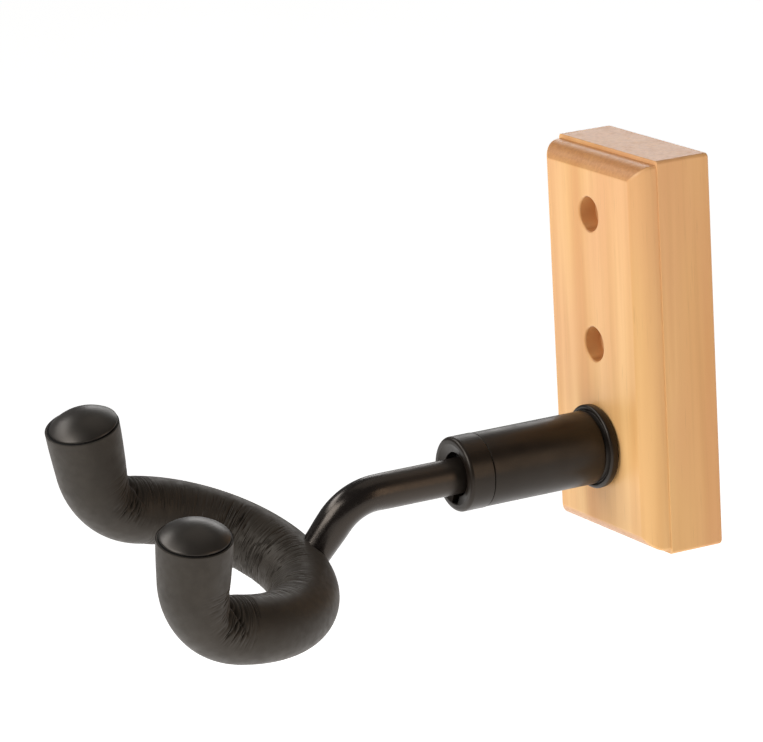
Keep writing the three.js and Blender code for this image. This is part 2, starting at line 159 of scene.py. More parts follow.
def mesh_piece(name, vertices, faces, material, sharp_angle=35):
    data = bpy.data.meshes.new(name)
    data.from_pydata([tuple(v) for v in vertices], [], faces)
    data.validate()
    data.update()
    data.shade_smooth()
    data.set_sharp_from_angle(angle=math.radians(sharp_angle))
    data.materials.append(material)
    piece = bpy.data.objects.new(name, data)
    bpy.context.scene.collection.objects.link(piece)
    return piece


def skin_rings(rings, closed):
    """Faces between rings of equal size. A closed skin joins its last ring to the
    first; an open one is capped at both ends."""
    count = len(rings[0])
    faces = []
    steps = len(rings) if closed else len(rings) - 1
    for i in range(steps):
        a = i * count
        b = (i + 1) % len(rings) * count
        for j in range(count):
            k = (j + 1) % count
            faces.append((a + j, a + k, b + k, b + j))
    if not closed:
        last = (len(rings) - 1) * count
        faces.append(tuple(range(count - 1, -1, -1)))
        faces.append(tuple(range(last, last + count)))
    vertices = [v for ring in rings for v in ring]
    return vertices, faces


def outward(piece):
    """Turns every face of a closed piece outwards."""
    work = bmesh.new()
    work.from_mesh(piece.data)
    bmesh.ops.remove_doubles(work, verts=work.verts, dist=1e-7)
    bmesh.ops.recalc_face_normals(work, faces=work.faces)
    work.to_mesh(piece.data)
    work.free()
    return piece


def circle(r, out, sides, place):
    """A ring of points about the arm axis."""
    ring = []
    for j in range(sides):
        angle = 2 * math.pi * j / sides
        ring.append(place @ Vector((r * math.cos(angle), -out, r * math.sin(angle))))
    return ring


def turned(name, profile, material, sides=128, place=TO_AXIS, sharp_angle=35):
    """A closed turned piece about the arm axis. The profile lists (radius, out)."""
    closed = profile[0][0] > 1e-6
    rings = [circle(r, out, sides, place) for r, out in profile]
    vertices, faces = skin_rings(rings, closed)
    return outward(mesh_piece(name, vertices, faces, material, sharp_angle))


def rounded(corners, steps=5):
    """A polygon's corners, each (x, y) or (x, y, fillet radius), with the fillets drawn."""
    points = []
    count = len(corners)
    for i, corner in enumerate(corners):
        here = Vector(corner[:2])
        fillet = corner[2] if len(corner) > 2 else 0.0
        to_last = Vector(corners[i - 1][:2]) - here
        to_next = Vector(corners[(i + 1) % count][:2]) - here
        if fillet <= 0 or to_last.length < 1e-9 or to_next.length < 1e-9:
            points.append(here)
            continue
        to_last.normalize()
        to_next.normalize()
        half = to_last.angle(to_next) / 2
        reach = fillet / math.tan(half)
        centre = here + (to_last + to_next).normalized() * fillet / math.sin(half)
        start = here + to_last * reach - centre
        turn = (here + to_next * reach - centre).angle_signed(start)
        for k in range(steps + 1):
            points.append(centre + Matrix.Rotation(turn * k / steps, 2) @ start)
    return [(p.x, p.y) for p in points]


def applied(piece, add_modifier):
    """The piece with a modifier made real."""
    add_modifier(piece)
    graph = bpy.context.evaluated_depsgraph_get()
    finished = bpy.data.meshes.new_from_object(piece.evaluated_get(graph))
    piece.modifiers.clear()
    piece.data = finished
    return piece


def cut(piece, cutter):
    """Takes the cutter out of the piece, and removes the cutter."""
    def add(target):
        modifier = target.modifiers.new("cut", "BOOLEAN")
        modifier.operation = "DIFFERENCE"
        modifier.object = cutter
        modifier.solver = "EXACT"

    applied(piece, add)
    bpy.data.objects.remove(cutter)
    return piece


def weighted(piece):
    """Keeps the flat faces of a cut piece looking flat."""
    def add(target):
        modifier = target.modifiers.new("normals", "WEIGHTED_NORMAL")
        modifier.keep_sharp = True

    return applied(piece, add)


# ------------------------------------------------------------------- centrelines


def straight_points(start, direction, length, step):
    count = max(2, round(length / step))
    return [start + direction * length * i / count for i in range(count + 1)]


def bend_points(start, direction, side, bend_r, angle, step):
    count = max(2, round(bend_r * angle / step))
    points = []
    for i in range(count + 1):
        turn = angle * i / count
        ahead = start + direction * bend_r * math.sin(turn)
        points.append(ahead + side * bend_r * (1 - math.cos(turn)))
    return points


def joined(*stretches):
    points = list(stretches[0])
    for stretch in stretches[1:]:
        points += stretch[1:]
    return points


def arm_line(start_out, end_length, step=0.5 * MM):
    outwards = Vector((0, -1, 0))
    down = Vector((0, 0, -1))
    straight = straight_points(Vector((0, -start_out, 0)), outwards, ARM_BEND_OUT - start_out, step)
    bend = bend_points(straight[-1], outwards, down, ARM_BEND_R, ARM_BEND, step)
    direction = outwards * math.cos(ARM_BEND) + down * math.sin(ARM_BEND)
    return joined(straight, bend, straight_points(bend[-1], direction, end_length, step))


def prong_line(side_name, step=0.4 * MM):
    """Half of the yoke from its back to the tip, and the direction at the tip."""
    prong = PRONGS[side_name]
    side, bend_angle, lean = prong["side"], prong["bend"], prong["lean"]
    forward = Vector((0, -math.cos(LOOP_RISE), math.sin(LOOP_RISE)))
    aside = Vector((side, 0, 0))
    back = Vector((0, -YOKE_BACK_OUT, -YOKE_BACK_DROP))
    loop = []
    count = round(math.pi / 4 * (LOOP_HALF_WIDTH + LOOP_DEPTH) / step)
    for i in range(count + 1):
        turn = math.pi / 2 * i / count
        beside = back + aside * LOOP_HALF_WIDTH * math.sin(turn)
        loop.append(beside + forward * LOOP_DEPTH * (1 - math.cos(turn)))
    up = Vector((0, math.sin(LOOP_RISE), math.cos(LOOP_RISE))) * math.cos(lean)
    up += aside * math.sin(lean)
    bend = bend_points(loop[-1], forward, up, PRONG_BEND_R, bend_angle, step)
    direction = forward * math.cos(bend_angle) + up * math.sin(bend_angle)
    straight = straight_points(bend[-1], direction, prong["straight"], step)
    return joined(loop, bend, straight), direction


class Sweep:
    """A centreline with a frame carried along it that doesn't twist."""

    def __init__(self, points, first_side):
        self.points = points
        self.along = []
        for i in range(len(points)):
            ahead = points[min(i + 1, len(points) - 1)]
            behind = points[max(i - 1, 0)]
            self.along.append((ahead - behind).normalized())
        self.sides = []
        side = first_side
        for direction in self.along:
            side = (side - direction * side.dot(direction)).normalized()
            self.sides.append(side)
        self.distance = [0.0]
        for a, b in zip(points, points[1:]):
            self.distance.append(self.distance[-1] + (b - a).length)

    @property
    def length(self):
        return self.distance[-1]

    def ring(self, i, place, r_at, sides, shift=0.0):
        """A ring round point i. Its radius is a number or a function of the angle."""
        centre = self.points[i] + self.along[i] * shift
        across = self.along[i].cross(self.sides[i])
        ring = []
        for j in range(sides):
            angle = 2 * math.pi * j / sides
            r = r_at(angle) if callable(r_at) else r_at
            direction = self.sides[i] * math.cos(angle) + across * math.sin(angle)
            ring.append(place @ (centre + direction * r))
        return ring

    def inside_of_bend(self, i, reach=6):
        """The unit vector towards the centre of the bend, and the curvature there."""
        a = self.along[max(i - reach, 0)]
        b = self.along[min(i + reach, len(self.along) - 1)]
        start = self.distance[max(i - reach, 0)]
        end = self.distance[min(i + reach, len(self.points) - 1)]
        change = (b - a) / (end - start)
        if change.length < 1e-6:
            return Vector((0, 0, 0)), 0.0
        return change.normalized(), change.length


# --------------------------------------------------------------------- materials


class Material:
    """A node material round one Principled shader."""

    def __init__(self, name, roughness, metallic=0.0, **sockets):
        self.data = bpy.data.materials.new(name)
        self.data.use_nodes = True
        self.tree = self.data.node_tree
        self.shader = self.tree.nodes["Principled BSDF"]
        self.shader.inputs["Roughness"].default_value = roughness
        self.shader.inputs["Metallic"].default_value = metallic
        for socket, value in sockets.items():
            self.shader.inputs[socket.replace("_", " ")].default_value = value
        self.place = self.add("ShaderNodeTexCoord").outputs["Object"]

    def add(self, kind, links=None, **settings):
        node = self.tree.nodes.new(kind)
        for key, value in settings.items():
            setattr(node, key, value)
        for socket, source in (links or {}).items():
            if isinstance(source, bpy.types.NodeSocket):
                self.tree.links.new(source, node.inputs[socket])
            else:
                node.inputs[socket].default_value = source
        return node

    def link(self, source, socket):
        self.tree.links.new(source, self.shader.inputs[socket])

    def stretched(self, scale):
        return self.add("ShaderNodeMapping", {"Vector": self.place, "Scale": scale}).outputs["Vector"]

    def noise(self, scale, detail=3.0, roughness=0.5, stretch=(1, 1, 1), distortion=0.0):
        node = self.add("ShaderNodeTexNoise", {
            "Vector": self.stretched(stretch), "Scale": scale, "Detail": detail,
            "Roughness": roughness, "Distortion": distortion,
        })
        return node.outputs["Fac"]

    def band(self, source, low, high, to_low=0.0, to_high=1.0):
        node = self.add("ShaderNodeMapRange", {
            "Value": source, "From Min": low, "From Max": high, "To Min": to_low, "To Max": to_high,
        })
        return node.outputs["Result"]

    def maths(self, operation, a, b=0.0):
        return self.add("ShaderNodeMath", {0: a, 1: b}, operation=operation).outputs[0]

    def mix(self, factor, a, b):
        node = self.add("ShaderNodeMix", data_type="RGBA", blend_type="MIX")
        for socket, source in ((0, factor), (6, a), (7, b)):
            if isinstance(source, bpy.types.NodeSocket):
                self.tree.links.new(source, node.inputs[socket])
            else:
                node.inputs[socket].default_value = source
        return node.outputs[2]

    def ramp(self, source, stops):
        node = self.add("ShaderNodeValToRGB", {"Fac": source})
        elements = node.color_ramp.elements
        while len(elements) < len(stops):
            elements.new(0.5)
        for element, (position, colour) in zip(elements, stops):
            element.position = position
            element.color = colour
        return node.outputs["Color"]

    def bump(self, height, distance, strength=1.0, below=None):
        links = {"Height": height, "Distance": distance, "Strength": strength}
        if below is not None:
            links["Normal"] = below
        return self.add("ShaderNodeBump", links).outputs["Normal"]


def rgb(red, green, blue):
    return (red, green, blue, 1.0)


def wood_material():
    """Pale maple under satin lacquer, with its grain along Z."""
    wood = Material(
        "hardwood", 0.46, Coat_Weight=0.12, Coat_Roughness=0.3, Coat_IOR=1.45,
        Specular_Tint=rgb(1.0, 0.82, 0.62),
    )
    broad = wood.noise(85, 2, 0.45, (1, 1, 0.05), 0.3)
    base = wood.ramp(broad, [
        (0.30, rgb(0.66, 0.325, 0.115)),
        (0.44, rgb(0.72, 0.395, 0.150)),
        (0.58, rgb(0.80, 0.480, 0.200)),
        (0.72, rgb(0.68, 0.350, 0.130)),
    ])
    patches = wood.band(wood.noise(34, 2, 0.5, (1, 1, 0.3)), 0.42, 0.66, 0.0, 0.8)
    base = wood.mix(patches, base, rgb(0.71, 0.365, 0.165))
    streaks = wood.band(wood.noise(420, 3, 0.55, (1, 1, 0.03), 0.3), 0.48, 0.75, 0.0, 0.28)
    base = wood.mix(streaks, base, rgb(0.58, 0.30, 0.110))
    pores = wood.band(wood.noise(1500, 2, 0.5, (1, 1, 0.05)), 0.64, 0.76, 0.0, 0.22)
    base = wood.mix(pores, base, rgb(0.42, 0.21, 0.08))
    normal = wood.add("ShaderNodeNewGeometry").outputs["True Normal"]
    parts = wood.add("ShaderNodeSeparateXYZ", {"Vector": normal}).outputs
    upright = wood.maths("ABSOLUTE", parts["Z"])
    sideways = wood.maths("ABSOLUTE", parts["X"])
    end_grain = wood.band(wood.maths("SUBTRACT", upright, sideways), 0.2, 0.6, 0.0, 0.8)
    speckle = wood.ramp(wood.noise(900, 3, 0.6), [
        (0.35, rgb(0.38, 0.145, 0.04)),
        (0.65, rgb(0.50, 0.215, 0.07)),
    ])
    base = wood.mix(end_grain, base, speckle)
    wood.link(base, "Base Color")
    wood.link(wood.band(streaks, 0, 0.35, 0.38, 0.5), "Roughness")
    fine = wood.bump(pores, 0.00003, 0.5)
    wood.link(wood.bump(streaks, 0.00004, 0.3, fine), "Normal")
    return wood.data


def raw_wood_with_painted_shade_material():
    """Unlacquered wood inside the bolt pocket and holes, painted darker than the face wood as shade
    in these recesses.
    """
    wood = Material("raw_wood_painted_shade", 0.75)
    # Painted shade: these tones are set much darker than the lacquered face wood.
    tone = wood.ramp(wood.noise(300, 4, 0.6, (1, 1, 0.08)), [
        (0.35, rgb(0.42, 0.18, 0.06)),
        (0.65, rgb(0.56, 0.26, 0.10)),
    ])
    wood.link(tone, "Base Color")
    wood.link(wood.bump(wood.noise(1200, 3), 0.0001, 0.5), "Normal")
    return wood.data


def moulded_material(name, colour, roughness, gloss=0.5):
    """Black moulding: a fine satin texture and slightly uneven gloss."""
    plastic = Material(name, roughness, Specular_IOR_Level=gloss, Specular_Tint=rgb(1.0, 0.9, 0.8))
    cloud = plastic.noise(60, 3)
    dark = tuple(0.8 * c for c in colour[:3]) + (1.0,)
    pale = tuple(1.25 * c for c in colour[:3]) + (1.0,)
    plastic.link(plastic.ramp(cloud, [(0.3, dark), (0.7, pale)]), "Base Color")
    uneven = plastic.noise(180, 4)
    plastic.link(plastic.band(uneven, 0.3, 0.7, roughness - 0.05, roughness + 0.07), "Roughness")
    plastic.link(plastic.bump(plastic.noise(2500, 2), 0.00002, 0.35), "Normal")
    return plastic.data


def rod_material():
    """Black enamel: satin on the straight arm, glossier where it is bent. Its colour is painted paler
    and warmer on the straight arm as sheen, and darker in the bend as shade.
    """
    enamel = Material("rod_enamel", 0.3, Specular_IOR_Level=0.5, Specular_Tint=rgb(1.0, 0.86, 0.74))
    parts = enamel.add("ShaderNodeSeparateXYZ", {"Vector": enamel.place}).outputs
    out = enamel.maths("MULTIPLY", parts["Y"], -1.0)
    wander = enamel.maths("MULTIPLY", enamel.noise(150, 2), 0.006)
    # The bend's mask: it lowers the roughness there, and it also paints the base darker there as
    # shade.
    bend_gloss_and_painted_shade = enamel.band(enamel.maths("ADD", out, wander), ARM_BEND_OUT - 0.004, ARM_BEND_OUT + 0.008)
    dust = enamel.band(enamel.noise(900, 4, 0.6), 0.4, 0.8, 0.0, 0.1)
    enamel.link(enamel.maths("ADD", enamel.band(bend_gloss_and_painted_shade, 0, 1, 0.34, 0.22), dust), "Roughness")
    # Painted sheen and shade: a paler, warmer base on the straight arm and a darker one in the bend.
    painted_sheen_and_shade_tint = enamel.mix(bend_gloss_and_painted_shade, rgb(0.012, 0.009, 0.007), rgb(0.004, 0.003, 0.003))
    enamel.link(painted_sheen_and_shade_tint, "Base Color")
    enamel.link(enamel.bump(enamel.noise(1400, 3), 0.00002, 0.3), "Normal")
    return enamel.data


def foam_material():
    """Skinned charcoal foam, a little warm, with pores finer than the creases."""
    foam = Material(
        "foam_skin", 0.5, Specular_IOR_Level=0.4, Specular_Tint=rgb(1.0, 0.90, 0.79),
        Sheen_Weight=0.05, Sheen_Roughness=0.5, Sheen_Tint=rgb(1.0, 0.9, 0.8),
    )
    tone = foam.ramp(foam.noise(90, 4, 0.6), [
        (0.3, rgb(0.013, 0.0105, 0.008)),
        (0.7, rgb(0.020, 0.016, 0.012)),
    ])
    foam.link(tone, "Base Color")
    foam.link(foam.band(foam.noise(400, 4), 0.3, 0.7, 0.48, 0.62), "Roughness")
    pores = foam.bump(foam.noise(3500, 2), 0.00003, 0.4)
    foam.link(foam.bump(foam.noise(700, 4, 0.6), 0.00008, 0.35, pores), "Normal")
    return foam.data


def cut_foam_material():
    """The open pores on the foam's cut ends and in its bore."""
    foam = Material("foam_cut_end", 0.9, Specular_IOR_Level=0.2)
    tone = foam.ramp(foam.noise(2500, 3), [
        (0.3, rgb(0.004, 0.004, 0.004)),
        (0.7, rgb(0.012, 0.011, 0.010)),
    ])
    foam.link(tone, "Base Color")
    foam.link(foam.bump(foam.noise(3000, 2), 0.0002, 0.7), "Normal")
    return foam.data


def steel_material(name, colour, roughness):
    """Bare or plated steel with fine turning marks."""
    steel = Material(name, roughness, metallic=1.0)
    marks = steel.noise(2500, 2, 0.5, (1, 0.1, 1))
    pale = tuple(min(1.0, 1.12 * c) for c in colour[:3]) + (1.0,)
    steel.link(steel.ramp(steel.noise(120, 4), [(0.3, colour), (0.7, pale)]), "Base Color")
    steel.link(steel.band(marks, 0.3, 0.7, roughness - 0.08, roughness + 0.1), "Roughness")
    steel.link(steel.bump(marks, 0.00002, 0.4), "Normal")
    return steel.data


WOOD = wood_material()
RAW_WOOD_WITH_PAINTED_SHADE = raw_wood_with_painted_shade_material()
HOUSING = moulded_material("housing_moulding", rgb(0.0085, 0.0055, 0.0035), 0.36, 0.33)
CAP = moulded_material("tip_cap_moulding", rgb(0.012, 0.0105, 0.009), 0.36)
NYLON = moulded_material("black_nylon", rgb(0.012, 0.012, 0.012), 0.5)
ROD = rod_material()
FOAM = foam_material()
CUT_FOAM = cut_foam_material()
ZINC = steel_material("zinc_plate", rgb(0.62, 0.63, 0.66), 0.32)
SPRING = steel_material("spring_steel", rgb(0.32, 0.33, 0.35), 0.36)


# ------------------------------------------------------------------------- block


def edge_profile(step, depth):
    """The block's edge from the wall to its front face, as (inset, out) points."""
    round_start = EDGE_STEP_OUT + EDGE_LEDGE
    width_scale = EDGE_ROUND / (1 - math.cos(EDGE_ROUND_TURN))
    depth_scale = (depth - round_start) / math.sin(EDGE_ROUND_TURN)
    profile = rounded([
        (3 * MM, 0), (0, 0, 1.0 * MM), (0, EDGE_STEP_OUT, 0.3 * step),
        (step, EDGE_STEP_OUT + 0.04 * step, 0.2 * step), (step, round_start),
    ])[1:-1]
    for i in range(25):
        angle = EDGE_ROUND_TURN * i / 24
        inset = step + width_scale * (1 - math.cos(angle))
        profile.append((inset, round_start + depth_scale * math.sin(angle)))
    last, out = profile.pop()
    profile += [
        (last - 0.16 * MM, out - 0.07 * MM),
        (last + 0.05 * MM, out - 0.01 * MM),
        (last + 0.3 * MM, depth),
    ]
    return [(2.5 * MM, 0.0)] + profile + [(last + 1.1 * MM, depth)]


def block_rings():
    """The block's outline at each step of its edge, and the block's depth."""
    low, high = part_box("back_block")
    depth = -low.y
    corner_r = 1.1 * MM
    rings = []
    side_edge = edge_profile(SIDE_STEP, depth)
    end_edge = edge_profile(END_STEP, depth)
    for (side_inset, out), (end_inset, _) in zip(side_edge, end_edge):
        r = max(corner_r - side_inset * 0.12, 0.35 * MM)
        x, bottom, top = high.x - side_inset, low.z + end_inset, high.z - end_inset
        outline = rounded([(-x, bottom, r), (x, bottom, r), (x, top, r), (-x, top, r)], steps=6)
        rings.append([Vector((px, -out, pz)) for px, pz in outline])
    return rings, depth


def hole_cutter(name, corners, height):
    """A turned cutter on an axis along Y at that height, from (radius, out) corners."""
    place = Matrix.Translation((0, 0, height))
    return turned(name, rounded(corners, steps=8), RAW_WOOD_WITH_PAINTED_SHADE, 96, place)


def make_block():
    rings, depth = block_rings()
    vertices, faces = skin_rings(rings, closed=False)
    block = outward(mesh_piece("block_shell", vertices, faces, WOOD, 28))
    past = 2 * MM
    ease = 0.6 * MM
    for height in (SCREW_HEIGHT, -SCREW_HEIGHT):
        seat_out = depth - SCREW_SEAT_DEPTH
        mouth_r = SCREW_SEAT_R + 2 * ease
        corners = [
            (0, -past), (SCREW_HOLE_R, -past),
            (SCREW_HOLE_R, seat_out), (SCREW_SEAT_R, seat_out, 0.3 * MM),
            (SCREW_SEAT_R, depth, ease), (mouth_r, depth),
            (mouth_r, depth + past), (0, depth + past),
        ]
        cut(block, hole_cutter("screw_hole", corners, height))
    rim_r = BOLT_POCKET_R + 0.5 * MM
    pocket = [
        (0, -past), (rim_r, -past), (rim_r, 0), (BOLT_POCKET_R, 0.4 * MM),
        (BOLT_POCKET_R, BOLT_POCKET_DEPTH, 0.4 * MM), (BOLT_HOLE_R, BOLT_POCKET_DEPTH),
        (BOLT_HOLE_R, depth + past), (0, depth + past),
    ]
    cut(block, hole_cutter("bolt_pocket", pocket, AXIS_Z))
    block.data.shade_smooth()
    block.data.set_sharp_from_angle(angle=math.radians(28))
    weighted(block)
    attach(block, "wall_body")
    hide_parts("back_block")


# ----------------------------------------------------------------------- housing


def make_flange():
    back, front = outs("wall_flange")
    r = radius("wall_flange")
    neck = FLANGE_NECK_R
    profile = rounded([
        (BOLT_HOLE_R, back), (r - 0.2 * MM, back, 1.1 * MM), (r, front - 0.1 * MM, 0.8 * MM),
        (neck + 0.8 * MM, front - 0.4 * MM, 0.3 * MM), (neck, front - 1.1 * MM, 0.2 * MM),
        (neck - 0.4 * MM, front, 0.1 * MM), (BOLT_HOLE_R, front),
    ])
    flange = turned("flange_ring", profile, HOUSING, place=TO_HOUSING)
    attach(flange, "wall_body")
    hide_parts("wall_flange")


def make_sleeve():
    wall_end, cap_end = outs("swivel_sleeve")
    r = radius("swivel_sleeve") - 0.12 * MM
    profile = rounded([
        (SLEEVE_BORE_R, wall_end), (r, wall_end, 0.45 * MM),
        (r, cap_end, 0.22 * MM), (SLEEVE_BORE_R, cap_end),
    ])
    sleeve = turned("sleeve_shell", profile, HOUSING, place=TO_HOUSING)
    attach(sleeve, "wall_body")
    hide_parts("swivel_sleeve")


def make_end_cap():
    back, front = outs("sleeve_end_cap")
    r = radius("sleeve_end_cap")
    shoulder = outs("swivel_sleeve")[1] + 0.25 * MM
    profile = rounded([
        (CAP_BORE_R, back), (CAP_SPIGOT_R, back), (CAP_SPIGOT_R, shoulder),
        (r, shoulder, 0.2 * MM), (r, front, 1.15 * MM), (r - 2.0 * MM, front, 0.5 * MM),
        (CAP_MOUTH_R, front - CAP_DISH, 0.35 * MM), (CAP_MOUTH_R, CAP_MOUTH_BACK),
        (CAP_BORE_R, CAP_MOUTH_BACK),
    ], steps=8)
    cap = turned("end_cap_shell", profile, HOUSING, place=TO_HOUSING)
    notch_top, notch_bottom = NOTCH_REACH
    low = Vector((-NOTCH_WIDTH / 2, -front - MM, AXIS_Z - notch_bottom))
    high = Vector((NOTCH_WIDTH / 2, -shoulder - MM, AXIS_Z - notch_top))
    ring = [(low.x, low.z), (high.x, low.z), (high.x, high.z), (low.x, high.z)]
    ring = rounded([(x, z, 0.25 * MM) for x, z in ring], steps=3)
    rings = [[Vector((x, y, z)) for x, z in ring] for y in (low.y, high.y)]
    vertices, faces = skin_rings(rings, closed=False)
    cut(cap, outward(mesh_piece("notch", vertices, faces, HOUSING)))
    cap.data.shade_smooth()
    cap.data.set_sharp_from_angle(angle=math.radians(35))
    weighted(cap)
    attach(cap, "wall_body")
    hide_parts("sleeve_end_cap")


def make_tie_bolt():
    near, far = outs("tie_bolt")
    half = middle("tie_bolt").x + BOLT_HALF_FLATS
    rings = []
    sides = 96
    head = (
        (near, 0.9 * MM), (near + 0.25 * MM, 0.35 * MM),
        (near + 0.6 * MM, 0.0), (BOLT_HEAD_END, 0.0),
    )
    for out, chamfer in head:
        ring = []
        for j in range(sides):
            angle = 2 * math.pi * j / sides
            off_flat = (angle + math.pi / 6) % (math.pi / 3) - math.pi / 6
            r = min(half / math.cos(off_flat), half / math.cos(math.pi / 6) - chamfer)
            ring.append(TO_AXIS @ Vector((r * math.cos(angle), -out, r * math.sin(angle))))
        rings.append(ring)
    shank = (
        (BOLT_R + 0.4 * MM, BOLT_HEAD_END), (BOLT_R, BOLT_HEAD_END + 0.4 * MM),
        (BOLT_R, far - 0.8 * MM), (BOLT_R - 0.8 * MM, far),
    )
    rings += [circle(r, out, sides, TO_AXIS) for r, out in shank]
    vertices, faces = skin_rings(rings, closed=False)
    bolt = outward(mesh_piece("hex_bolt", vertices, faces, ZINC, 25))
    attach(bolt, "wall_body")
    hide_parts("tie_bolt")


def make_washer():
    back, front = outs("tie_bolt_washer")
    r = radius("tie_bolt_washer")
    ease = 0.25 * MM
    profile = rounded([
        (BOLT_HOLE_R, back, ease), (r, back, ease),
        (r, front, ease), (BOLT_HOLE_R, front, ease),
    ])
    washer = turned("flat_washer", profile, ZINC)
    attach(washer, "wall_body")
    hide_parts("tie_bolt_washer")


# ----------------------------------------------------------------- arm and yoke


def make_arm():
    """The bent arm, a little flattened in its bend and slimmer at its lower end."""
    start = outs("arm_rod")[0]
    sweep = Sweep(arm_line(start, ARM_END_LENGTH - 2.0 * MM), Vector((1, 0, 0)))
    sides = 72
    rings = []
    for i in range(0, len(sweep.points), 2):
        _, curvature = sweep.inside_of_bend(i)
        squeeze = 0.12 * MM * min(1.0, curvature * ARM_BEND_R)
        to_end = sweep.length - sweep.distance[i]
        r = ARM_R - ARM_END_TAPER * smooth_step(1 - to_end / ARM_END_LENGTH)

        def r_at(angle, r=r, squeeze=squeeze):
            return r - squeeze * abs(math.sin(angle))

        rings.append(sweep.ring(i, TO_SWIVEL, r_at, sides))
    vertices, faces = skin_rings(rings, closed=False)
    arm = outward(mesh_piece("bent_arm", vertices, faces, ROD))
    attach(arm, "swivel_body")
    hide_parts("arm_rod")


def smooth_step(value):
    value = min(1.0, max(0.0, value))
    return value * value * (3 - 2 * value)


def wrinkles(distance, around, spacing, seed):
    """A comb of wrinkles that run round a tube, as 0 on the skin to 1 in a valley.
    They wander, and each fades in and out on its own."""
    wander = 0.5 * spacing * noise.noise(Vector((distance / (6 * spacing), *around.yz * 0.9)) + seed)
    along = (distance + wander) / spacing
    phase = along + 0.9 * noise.noise(Vector((along * 0.45, 0.12 * around.x, 0.12 * around.z)) + seed)
    valley = (0.5 + 0.5 * math.cos(2 * math.pi * phase)) ** 4
    reach = 0.5 + 1.3 * noise.noise(Vector((along * 0.8, *around.yz * 3.0)) - seed)
    return valley * min(1.0, max(0.0, reach))


FINE_SEED = Vector((3.1, 7.7, 1.9))
BROAD_SEED = Vector((8.3, 2.2, 5.4))


def crease_depth(direction, distance, inside, bend, spacing):
    """How deep the skin lies at a place on a tube, from its wrinkles."""
    around = direction * 1.3
    fine = FINE_WRINKLE * wrinkles(distance, around, spacing, FINE_SEED)
    middling = MIDDLING_WRINKLE * wrinkles(distance, around, 2.3 * spacing, BROAD_SEED)
    broad = BROAD_WRINKLE * wrinkles(distance, around, 7 * spacing, FINE_SEED - BROAD_SEED)
    patch = 0.75 + 1.1 * noise.noise(Vector((distance * 95, *around.yz * 0.5)) + BROAD_SEED)
    return (fine + middling + broad) * inside * bend * min(1.2, max(0.35, patch))


def pinched_radius(base, turn, bend_angle, facing):
    """The radius of the skin in a prong's tight bend. On its inside the foam folds, so
    the skin keeps to the two straight tubes that meet in the middle of the bend."""
    off = min(turn, bend_angle - turn)
    sink = PRONG_BEND_R * (1 - math.cos(off))
    if turn <= 0 or turn >= bend_angle or sink >= base:
        return base
    a = facing * facing * math.cos(off) ** 2 + 1 - facing * facing
    b = 2 * sink * facing * math.cos(off)
    c = sink * sink - base * base
    pinched = min(base, (math.sqrt(b * b - 4 * a * c) - b) / (2 * a))
    share = smooth_step((facing - 0.05) / 0.65)
    return base + (pinched - base) * share


def fold_depth(turn, bend_angle, facing, strength):
    """The deep crease that starts in the middle of a prong's bend and runs aslant
    towards the loop."""
    reach = smooth_step((facing - 0.2) / 0.45)
    lean = 0.6 * (1.0 - facing)
    gap = (turn - bend_angle * 0.5 + lean) / (0.022 + 0.03 * reach)
    valley = math.exp(-gap * gap)
    lip = math.exp(-((gap - 2.4) / 1.4) ** 2)
    return FOLD_DEPTH * (valley - 0.3 * lip) * reach * strength


def foam_radius(sweep, i):
    """The radius before any crease: the foam is stretched wider near its tip."""
    from_tip = sweep.length - sweep.distance[i]
    widening = smooth_step(1 - from_tip / FOAM_TIP_STRETCH)
    return FOAM_LOOP_R + (FOAM_TIP_R - FOAM_LOOP_R) * widening


def foam_ring(sweep, i, side_name, sides):
    """One ring of the foam's skin, pinched and wrinkled where the tube bends."""
    prong = PRONGS[side_name]
    base = foam_radius(sweep, i)
    inner, curvature = sweep.inside_of_bend(i)
    across = sweep.along[i].cross(sweep.sides[i])
    before_tip = sweep.length - sweep.distance[i] - prong["straight"]
    turn = prong["bend"] - before_tip / PRONG_BEND_R
    in_prong_bend = 0 < turn < prong["bend"]
    spacing = WRINKLE_SPACING * (1.9 if in_prong_bend else 1.0)
    bend = min(1.0, curvature * 30 * MM) * min(1.0, max(0.0, (turn + 3.2) / 0.8))
    fade = min(1.0, max(0.0, (before_tip + 3 * MM) / (8 * MM)))
    fan = 1.0
    if in_prong_bend:
        fan += 0.9 * smooth_step(1 - abs(2 * turn / prong["bend"] - 1))

    def r_at(angle):
        direction = sweep.sides[i] * math.cos(angle) + across * math.sin(angle)
        facing = direction.dot(inner)
        r = base
        if in_prong_bend:
            r = pinched_radius(base, turn, prong["bend"], facing)
            r -= fold_depth(turn, prong["bend"], facing, prong["fold"])
        inside = smooth_step((facing + (0.35 if in_prong_bend else 0.15)) / 0.8)
        return r - fade * fan * crease_depth(direction, sweep.distance[i], inside, bend, spacing)

    return sweep.ring(i, TO_SWIVEL, r_at, sides)


def make_foam_tube(side_name):
    """A foam tube: its wrinkled skin, its cut end at the tip, and its bore."""
    line, _ = prong_line(side_name, 0.16 * MM)
    sweep = Sweep(line, Vector((0, 0, 1)))
    sides = 132
    rings = [foam_ring(sweep, i, side_name, sides) for i in range(len(line))]
    skin = len(rings)
    last = len(line) - 1
    for inset, shift in ((0.15, -0.15), (0.55, 0.0), (1.2, 0.05), (3.0, 0.05), (4.6, 0.05)):
        rings.append(sweep.ring(last, TO_SWIVEL, FOAM_TIP_R - inset * MM, sides, shift * MM))
    for i in range(last, -1, -16):
        rings.append(sweep.ring(i, TO_SWIVEL, FOAM_BORE_R, sides))
    rings.append(sweep.ring(0, TO_SWIVEL, FOAM_BORE_R, sides))
    vertices, faces = skin_rings(rings, closed=True)
    tube = mesh_piece(f"foam_{side_name}", vertices, faces, FOAM, 60)
    tube.data.materials.append(CUT_FOAM)
    for polygon in tube.data.polygons:
        if polygon.index >= (skin + 1) * sides:
            polygon.material_index = 1
    outward(tube)
    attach(tube, "swivel_body")
    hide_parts(f"foam_tube_{side_name}")


